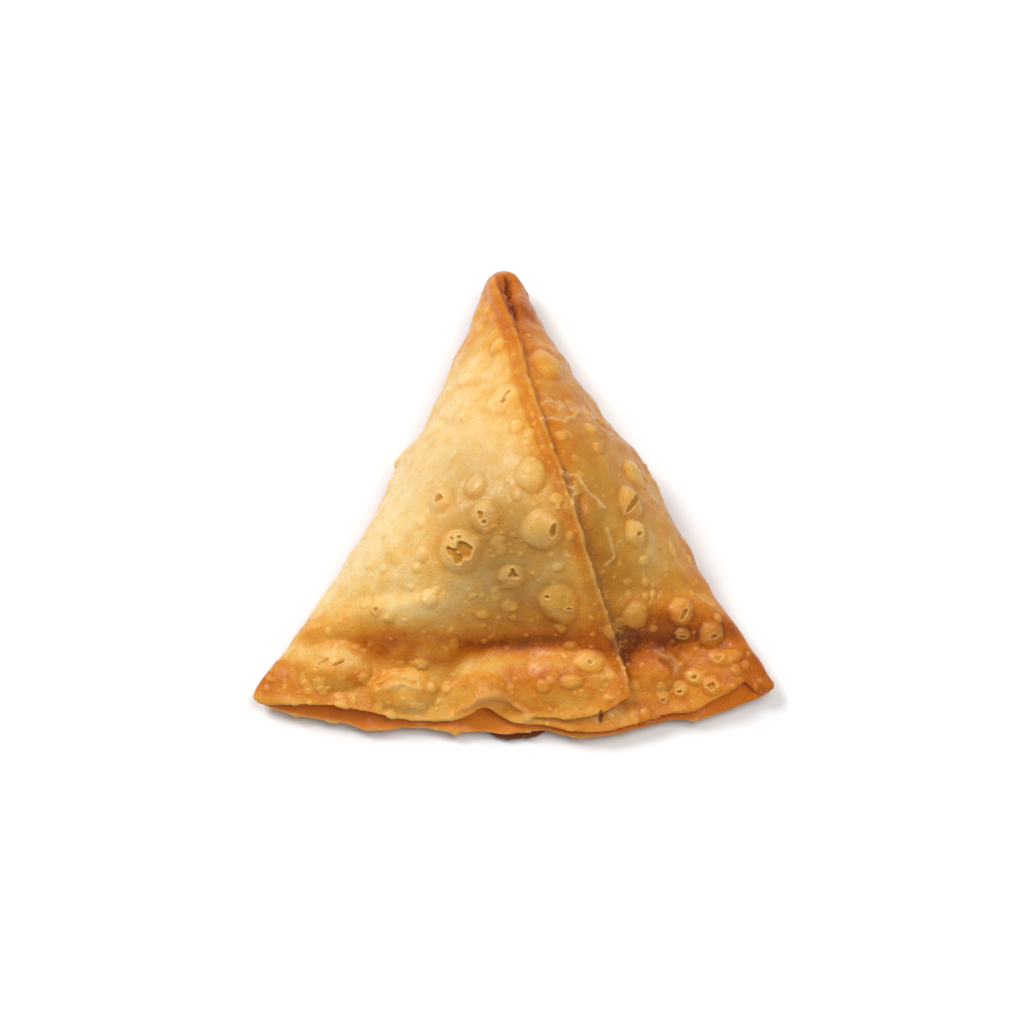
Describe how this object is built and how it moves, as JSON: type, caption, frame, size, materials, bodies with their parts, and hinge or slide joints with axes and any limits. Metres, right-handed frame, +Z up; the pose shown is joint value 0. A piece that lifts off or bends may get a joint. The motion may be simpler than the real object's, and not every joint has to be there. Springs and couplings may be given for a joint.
{
  "type": "samosa",
  "caption": "Fried samosa: a plump triangular pastry parcel with a lapped front flap, a blistered crust and a pressed hem that gapes at the corners.",
  "frame": {"origin": "centre of the bounding box's underside, where the flat of the back panel meets the table", "axes": "+Y from the hem towards the tip, +X across the parcel towards the side that the front flap's free edge faces, +Z up out of the front"},
  "size_m": [0.0944, 0.0908, 0.0329],
  "materials": {
    "fried_pastry": "deep-fried wheat dough, golden brown, blistered, with a slight sheen of oil"
  },
  "bodies": {
    "root": {"samosa": "fried_pastry"}
  },
  "joints": []
}
